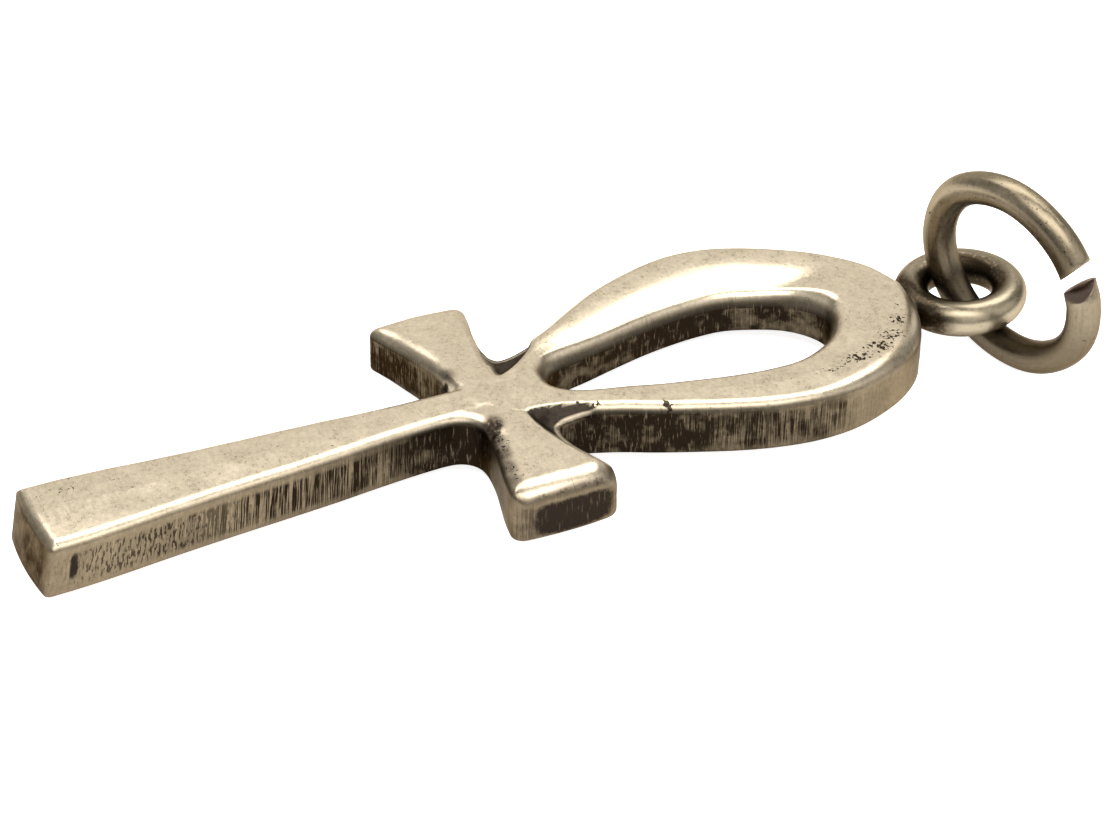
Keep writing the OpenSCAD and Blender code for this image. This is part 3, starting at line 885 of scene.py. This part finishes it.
def snip(points, run):
    """Cuts the slanting flat that the cutters left on the lower end. Gives the points on it."""
    turn = radians(CUT_TURN)
    away = np.array([cos(turn), sin(turn), 0])
    onward = np.array([-sin(turn), cos(turn), 0])
    end = JUMP_R * away - CUT_MIDDLE / 2 * onward
    slant = FLAT_ALONG * onward + FLAT_OUT * away + np.array([0, 0, FLAT_FRONT])
    slant /= np.linalg.norm(slant)
    over = (points - end - np.array([0, 0, FLAT_DEPTH])) @ slant
    snipped = (over > 0) & (run > 0.5)
    points[snipped] -= over[snipped, None] * slant
    return snipped


def make_jump_ring(material):
    """The open jump ring, with slanted cut ends."""
    sections = wire_sections()
    count, across = len(sections), len(WIRE_TURNS)
    points = np.vstack(sections)
    rings = np.arange(len(points)).reshape(count, across)
    faces = turned_over(joined_up(rings)) + end_caps(rings)
    run, turns = np.repeat(np.linspace(0, 1, count), across), np.tile(WIRE_TURNS, count)
    cut = np.zeros(len(points))
    cut[:2 * across] = 1
    cut[-2 * across:] = 1
    cut[snip(points, run)] = 1
    # Wire that was bent by hand isn't quite round
    wobble = 1 + 0.004 * np.sin(run * 23 + 1) + 0.003 * np.sin(run * 51)
    points[:, :2] *= wobble[:, None]
    out, up, front = jump_axes()
    centre = jump_centre(out, up)
    points = centre + points[:, :1] * out + points[:, 1:2] * up + points[:, 2:] * front
    marks = {
        "cut": cut,
        "wire_place": np.column_stack([run * JUMP_R * 6, turns * JUMP_WIRE / 2, cut]),
        # Darker inner side, painted shade low down and a painted dark reflection in the streak
        "inside": wire_shade(points, run, turns),
        "flat_place": points,
    }
    return mesh_piece("jump_wire", points, faces, marks, "jump_ring", material)


def wire_shade(points, run, turns):
    """Darkening inside the jump ring, painted shade low down on it, and a painted dark reflection in
    the streak.
    """
    inside = np.clip(-np.cos(turns) * 1.6 - 0.2, 0, 1) * 0.8
    # Painted shade, darker towards the bottom
    shade_below = rising(5.2 - points[:, 2], 0, 3.5) * 0.95
    # Painted dark reflection near the upper cut end
    streak = np.clip(np.cos(turns - STREAK_SIDE) * 2 - 1, 0, 1)
    streak *= 1.4 * np.exp(-((run - 0.03) / STREAK_RUN) ** 2)
    return np.maximum(np.maximum(inside, shade_below), streak)


class Nodes:
    """Adds shader nodes to a tree. Their inputs are other nodes' sockets or plain values."""

    def __init__(self, tree):
        self.tree = tree

    def join(self, source, socket):
        self.tree.links.new(source, socket)

    def put(self, kind, links, **settings):
        """Adds a node, fills its inputs by name or number, and gives its outputs."""
        node = self.tree.nodes.new("ShaderNode" + kind)
        for key, value in settings.items():
            setattr(node, key, value)
        for socket, source in links.items():
            if isinstance(source, bpy.types.NodeSocket):
                self.join(source, node.inputs[socket])
            else:
                node.inputs[socket].default_value = source
        return node.outputs

    def effect(self, group, links):
        return self.put("Group", links, node_tree=group)

    def math(self, op, a, b, clamp=False):
        return self.put("Math", {0: a, 1: b}, operation=op, use_clamp=clamp)[0]

    def plus(self, a, b):
        return self.math("ADD", a, b)

    def less(self, a, b):
        return self.math("SUBTRACT", a, b)

    def times(self, a, b, clamp=False):
        return self.math("MULTIPLY", a, b, clamp)

    def most(self, a, b, clamp=False):
        return self.math("MAXIMUM", a, b, clamp)

    def band(self, value, low, high):
        """0 below low, 1 above high, smooth between."""
        links = {"Value": value, "From Min": low, "From Max": high}
        return self.put("MapRange", links, interpolation_type="SMOOTHSTEP")["Result"]

    def blended(self, share, a, b):
        return self.put("Mix", {0: share, 6: a, 7: b}, data_type="RGBA")[2]

    def stretched(self, vector, scale, turn=(0, 0, 0)):
        return self.put("Mapping", {"Vector": vector, "Scale": scale, "Rotation": turn})[0]

    def cloud(self, vector, scale=1.0, detail=3.0, rough=0.5):
        links = {"Vector": vector, "Scale": scale, "Detail": detail, "Roughness": rough}
        return self.put("TexNoise", links)[0]

    def painted(self, mark, output="Fac"):
        return self.put("Attribute", {}, attribute_name=mark)[output]


def new_effect(name, inputs, outputs):
    """An empty node group that is given a place in millimetres and named values."""
    tree = bpy.data.node_groups.new(name, "ShaderNodeTree")
    tree.interface.new_socket("Place", in_out="INPUT", socket_type="NodeSocketVector")
    for way, names in (("INPUT", inputs), ("OUTPUT", outputs)):
        for socket in names:
            tree.interface.new_socket(socket, in_out=way, socket_type="NodeSocketFloat")
    given, gives = tree.nodes.new("NodeGroupInput").outputs, tree.nodes.new("NodeGroupOutput").inputs
    return Nodes(tree), given, gives


def saw_lines(n, place, body):
    """Upright saw marks, fainter at the top and the foot of the wall."""
    coarse = n.cloud(n.stretched(place, (4.0, 0.5, 0)), detail=2)
    fine = n.cloud(n.stretched(place, (20.0, 0.45, 0)), detail=2)
    mixed = n.plus(n.times(coarse, 0.27), n.times(fine, 0.73))
    share = n.plus(n.times(body, 0.75), 0.25)
    return n.times(n.band(mixed, 0.465, 0.52), share)


def smoke_patches(n, place, up, smoke):
    """Patchy oxide, whole in a thin line along the top edge."""
    patch = n.cloud(n.stretched(place, (0.8, 1.0, 0)), detail=5, rough=0.6)
    blotches = n.plus(n.times(n.band(patch, 0.32, 0.66), 0.7), 0.62)
    lip = n.less(n.band(up, 0.96, 1.0), n.band(up, 1.05, 1.1))
    return n.most(n.times(smoke, blotches), n.times(lip, smoke))


def striated_oxide():
    """Dark oxide in the saw marks of a wall. Its place is along the wall and up it."""
    inputs = ("Smoke", "Striae", "Dashes")
    n, given, gives = new_effect("striated_oxide", inputs, ("Dark", "Worn", "Height"))
    place = given["Place"]
    up = n.put("SeparateXYZ", {0: place})[2]
    body = n.times(n.band(up, 0.02, 0.2), n.less(1.0, n.band(up, 0.84, 0.98)))
    striae = n.times(saw_lines(n, place, body), given["Striae"], clamp=True)
    marks = n.cloud(n.stretched(place, (11.0, 2.8, 0), (0, 0, 0.45)), detail=2)
    dashes = n.times(n.times(n.band(marks, 0.52, 0.57), body), given["Dashes"])
    smoke = smoke_patches(n, place, up, given["Smoke"])
    flecks = n.band(n.cloud(n.stretched(place, (13.0, 1.6, 0)), detail=3), 0.58, 0.68)
    both = n.plus(smoke, n.times(striae, 0.5))
    dark = n.most(n.most(smoke, striae), dashes)
    dark = n.most(dark, both, clamp=True)
    dark = n.times(dark, n.less(1.0, n.times(flecks, 0.35)))
    n.join(dark, gives["Dark"])
    n.join(flecks, gives["Worn"])
    n.join(n.less(1.0, n.plus(striae, dashes)), gives["Height"])
    return n.tree


def worn_grain():
    """Mottled tarnish, pits and the fine grain of worn silver."""
    n, given, gives = new_effect("worn_grain", ("Pitting",), ("Mottle", "Pits", "Height"))
    place = given["Place"]
    wide = n.cloud(place, 0.9, 4, 0.6)
    grain = n.cloud(place, 6.0, 5, 0.75)
    mottle = n.band(n.plus(n.times(wide, 0.3), n.times(grain, 0.7)), 0.27, 0.73)
    specks = n.cloud(place, 7.5, 2, 0.5)
    level = n.less(0.73, n.times(given["Pitting"], 0.235))
    pits = n.band(n.less(specks, level), 0.0, 0.03)
    fine = n.times(n.cloud(place, 16.0, 2), 0.25)
    n.join(mottle, gives["Mottle"])
    n.join(pits, gives["Pits"])
    n.join(n.less(fine, pits), gives["Height"])
    return n.tree


def hair_scratches():
    """Thin scratches that run every way, in loose groups."""
    n, given, gives = new_effect("hair_scratches", ("Spread",), ("Mask",))
    place = given["Place"]
    total = None
    for turn, size in ((0.5, 1.0), (1.7, 1.3), (2.6, 0.8), (-0.35, 1.1)):
        way = n.stretched(place, (1.1 * size, 22.0 * size, 0.4), (0, 0, turn))
        line = n.band(n.cloud(way, 1.0, 1, 0.5), 0.7, 0.76)
        total = line if total is None else n.most(total, line)
    groups = n.band(n.cloud(place, 0.7, 2), given["Spread"], 0.65)
    n.join(n.times(total, groups), gives["Mask"])
    return n.tree


def new_material(name, shown, roughness):
    """Bare silver, with the tone and roughness that a plain view shows."""
    m = bpy.data.materials.new(name)
    m.use_nodes = True
    m.diffuse_color = (*shown, 1)
    shader = m.node_tree.nodes["Principled BSDF"]
    shader.inputs["Metallic"].default_value = 1.0
    shader.inputs["Specular Tint"].default_value = (0.55, 0.5, 0.45, 1)
    shader.inputs["Roughness"].default_value = roughness
    return m, Nodes(m.node_tree), shader


def roughened(n, shader, base, masks):
    """Roughness from a base value and shares of masks."""
    rough = base
    for mask, share in masks:
        rough = n.plus(n.times(mask, share), rough)
    n.join(rough, shader.inputs["Roughness"])


def bumped(n, shader, height, distance, strength):
    bump = n.put("Bump", {"Height": height, "Distance": distance, "Strength": strength})
    n.join(bump[0], shader.inputs["Normal"])


# Colours of the plate. A pair is the darker and the lighter tone of a mottled surface
SATIN = (0.47, 0.402, 0.293, 1), (0.72, 0.626, 0.475, 1)
WALL_SILVER = (0.145, 0.114, 0.073, 1), (0.26, 0.206, 0.136, 1)
FILED_SILVER = (0.022, 0.017, 0.013, 1), (0.052, 0.042, 0.033, 1)
STAIN, PIT_DIRT = (0.075, 0.058, 0.042, 1), (0.045, 0.034, 0.024, 1)
OXIDE, OXIDE_SPOT = (0.012, 0.008, 0.005, 1), (0.022, 0.0165, 0.0125, 1)
# Colours of the bail ring
BAIL_SILVER = (0.26, 0.219, 0.152, 1), (0.36, 0.31, 0.223, 1)
# Fire stain of the solder, also used for the painted shade low down and inside the ring
FIRE_STAIN_AND_SHADE = (0.045, 0.034, 0.022, 1)
# Colours of the jump ring
WIRE_SILVER = (0.195, 0.16, 0.107, 1), (0.31, 0.26, 0.182, 1)
DRAW_LINE, WIRE_PIT = (0.12, 0.09, 0.06, 1), (0.06, 0.045, 0.03, 1)
# The first darkens the inner side and stands for painted shade low down and a painted dark
# reflection; the second is the cut ends' tone
WIRE_DARKENING_AND_SHADE, CUT_END_TONE = (0.045, 0.033, 0.02, 1), (0.14, 0.105, 0.085, 1)


def top_colour(n, grain, hairs):
    """Satin silver with stains on its edges, pits and scratches."""
    top = n.blended(grain["Mottle"], *SATIN)
    stain = n.times(n.painted("tarnished"), n.plus(grain["Mottle"], 0.4), clamp=True)
    top = n.blended(stain, top, STAIN)
    return n.blended(n.most(grain["Pits"], n.times(hairs, 0.55)), top, PIT_DIRT)


def spot_mask(n, grain, oxide, wall):
    """The dark places, with a ragged edge and worn flecks on the walls."""
    ragged = n.times(n.less(grain["Mottle"], 0.5), 0.3)
    edge = n.plus(n.painted("dark"), ragged)
    worn = n.times(n.times(oxide["Worn"], wall), 0.35)
    return n.times(n.band(edge, 0.3, 0.62), n.less(1.0, worn))


def plate_silver(effects):
    """Worn silver: light satin top, dark oxidised walls with saw marks."""
    m, n, shader = new_material("plate_silver", (0.72, 0.66, 0.53), 0.36)
    place = n.painted("flat_place", "Vector")
    filed, wall = n.painted("filed"), n.painted("wall")
    grain = n.effect(effects["grain"], {"Place": place, "Pitting": n.painted("pitted")})
    hairs = n.effect(effects["hairs"], {"Place": place, "Spread": 0.42})["Mask"]
    tones = n.put("SeparateXYZ", {0: n.painted("wall_tones", "Vector")})
    links = {"Smoke": tones[0], "Striae": tones[1], "Dashes": tones[2]}
    links["Place"] = n.painted("wall_place", "Vector")
    oxide = n.effect(effects["oxide"], links)
    wall_tone = n.blended(oxide["Dark"], n.blended(grain["Mottle"], *WALL_SILVER), OXIDE)
    colour = n.blended(wall, top_colour(n, grain, hairs), wall_tone)
    colour = n.blended(filed, colour, n.blended(grain["Mottle"], *FILED_SILVER))
    spot = spot_mask(n, grain, oxide, wall)
    n.join(n.blended(spot, colour, OXIDE_SPOT), shader.inputs["Base Color"])
    masks = [(grain["Mottle"], 0.07), (filed, 0.2), (wall, 0.14), (spot, 0.12)]
    roughened(n, shader, 0.26, masks)
    sawn = n.less(n.times(oxide["Height"], wall), n.times(hairs, 0.15))
    bumped(n, shader, n.plus(grain["Height"], sawn), 0.00003, 0.5)
    return m


def bail_silver(effects):
    """Tarnished wire, darker where it was soldered, with painted shade low down and on its inner
    side.
    """
    m, n, shader = new_material("bail_silver", (0.5, 0.44, 0.33), 0.3)
    place = n.painted("flat_place", "Vector")
    grain = n.effect(effects["grain"], {"Place": place, "Pitting": 0.1})
    # The solder's stain together with the painted shade low down and inside the ring
    shade = n.most(n.painted("solder"), n.painted("inside"))
    fire_and_shade = n.times(shade, n.plus(grain["Mottle"], 0.55), clamp=True)
    tone = n.blended(fire_and_shade, n.blended(grain["Mottle"], *BAIL_SILVER), FIRE_STAIN_AND_SHADE)
    n.join(tone, shader.inputs["Base Color"])
    roughened(n, shader, 0.24, [(grain["Mottle"], 0.15)])
    bumped(n, shader, grain["Height"], 0.00002, 0.7)
    return m


def wire_silver(effects):
    """Drawn silver wire, darker inside, with painted shade low down and a painted dark reflection,
    its cut ends brown.
    """
    m, n, shader = new_material("wire_silver", (0.5, 0.43, 0.31), 0.32)
    place = n.painted("flat_place", "Vector")
    grain = n.effect(effects["grain"], {"Place": place, "Pitting": 0.2})
    hairs = n.effect(effects["hairs"], {"Place": place, "Spread": 0.35})["Mask"]
    along = n.stretched(n.painted("wire_place", "Vector"), (0.5, 9.0, 1))
    drawn = n.cloud(along, 1.0, 3)
    tone = n.blended(grain["Mottle"], *WIRE_SILVER)
    tone = n.blended(n.times(n.band(drawn, 0.5, 0.8), 0.4), tone, DRAW_LINE)
    tone = n.blended(n.most(grain["Pits"], n.times(hairs, 0.3)), tone, WIRE_PIT)
    # Darker inner side, painted shade low down and a painted dark reflection
    tone = n.blended(n.times(n.painted("inside"), 0.68), tone, WIRE_DARKENING_AND_SHADE)
    tone = n.blended(n.painted("cut"), tone, CUT_END_TONE)
    n.join(tone, shader.inputs["Base Color"])
    roughened(n, shader, 0.25, [(grain["Mottle"], 0.2)])
    bumped(n, shader, n.plus(grain["Height"], n.times(drawn, 0.3)), 0.00002, 0.7)
    return m


def toward(azimuth, elevation):
    """The direction to a place round the pendant. Azimuth 0 is the side of the right arm."""
    az, el = radians(azimuth), radians(elevation)
    return Vector((cos(az) * cos(el), sin(az) * cos(el), sin(el)))


def make_camera():
    """The camera stands as it did for the photograph, which was framed on the flat pendant."""
    back, right = toward(-26.28, 34.09), toward(63.72, 0)
    aim, distance = Vector((0.0893, 3.103, 0)), 100
    stand = Matrix((right, back.cross(right), back)).transposed().to_4x4()
    stand.translation = (aim + back * distance) * MM
    data = bpy.data.cameras.new("camera")
    data.sensor_width = 36
    data.lens = 85.95
    data.clip_start = 0.001
    camera = in_scene("camera", data)
    camera.matrix_world = LEAN @ stand
    scene.camera = camera


# Soft boxes, all as far from the pendant: name, azimuth, elevation, width, height, radiance.
# The camera looks in from azimuth -26, so 154 is the far side
BOX_DISTANCE = 0.4
SOFT_BOXES = [
    ("far_low", 154, 20, 0.75, 0.16, 0.95),
    ("far_high", 154, 60, 0.5, 0.2, 4.8),
    ("near_high", -26, 68, 0.45, 0.24, 4.4),
    ("near_low", 20, 34, 0.9, 0.26, 1.0),
    ("stem_side", -110, 25, 0.25, 0.25, 0.5),
]


def soft_box(name, azimuth, elevation, width, height, radiance):
    """A soft light that faces the pendant."""
    aim = Vector((0.0, 0.003, 0.0))
    data = bpy.data.lights.new(name, "AREA")
    data.shape = "RECTANGLE"
    data.size, data.size_y = width, height
    data.energy = radiance * pi * width * height
    data.color = (1.0, 0.985, 0.955)
    lamp = in_scene(name, data)
    lamp.location = aim + BOX_DISTANCE * toward(azimuth, elevation)
    lamp.rotation_euler = (aim - lamp.location).to_track_quat("-Z", "Y").to_euler()


def make_table():
    """A pale table that glows a little, so that the ground is white as in the photograph."""
    low, half = cad_box[0][2], 1.2
    corners = [(-half, -half, low), (half, -half, low), (half, half, low), (-half, half, low)]
    mesh = bpy.data.meshes.new("table")
    mesh.from_pydata(corners, [], [(0, 1, 2, 3)])
    floor = in_scene("table", mesh)
    m = bpy.data.materials.new("pale_table")
    m.use_nodes = True
    shader = m.node_tree.nodes["Principled BSDF"]
    shader.inputs["Base Color"].default_value = (0.9, 0.9, 0.9, 1)
    shader.inputs["Roughness"].default_value = 0.9
    shader.inputs["Emission Color"].default_value = (1, 1, 1, 1)
    shader.inputs["Emission Strength"].default_value = 0.85
    mesh.materials.append(m)


def make_studio():
    """The table, a dim room and soft boxes above and behind."""
    make_table()
    world = bpy.data.worlds.new("studio")
    world.use_nodes = True
    background = world.node_tree.nodes["Background"]
    background.inputs["Color"].default_value = (1.0, 0.985, 0.96, 1)
    background.inputs["Strength"].default_value = 0.3
    scene.world = world
    for box in SOFT_BOXES:
        soft_box(*box)


effects = {"oxide": striated_oxide(), "grain": worn_grain(), "hairs": hair_scratches()}
make_plate(plate_silver(effects))
make_bail(bail_silver(effects))
make_jump_ring(wire_silver(effects))
make_camera()
make_studio()
scene.view_settings.view_transform = "Standard"
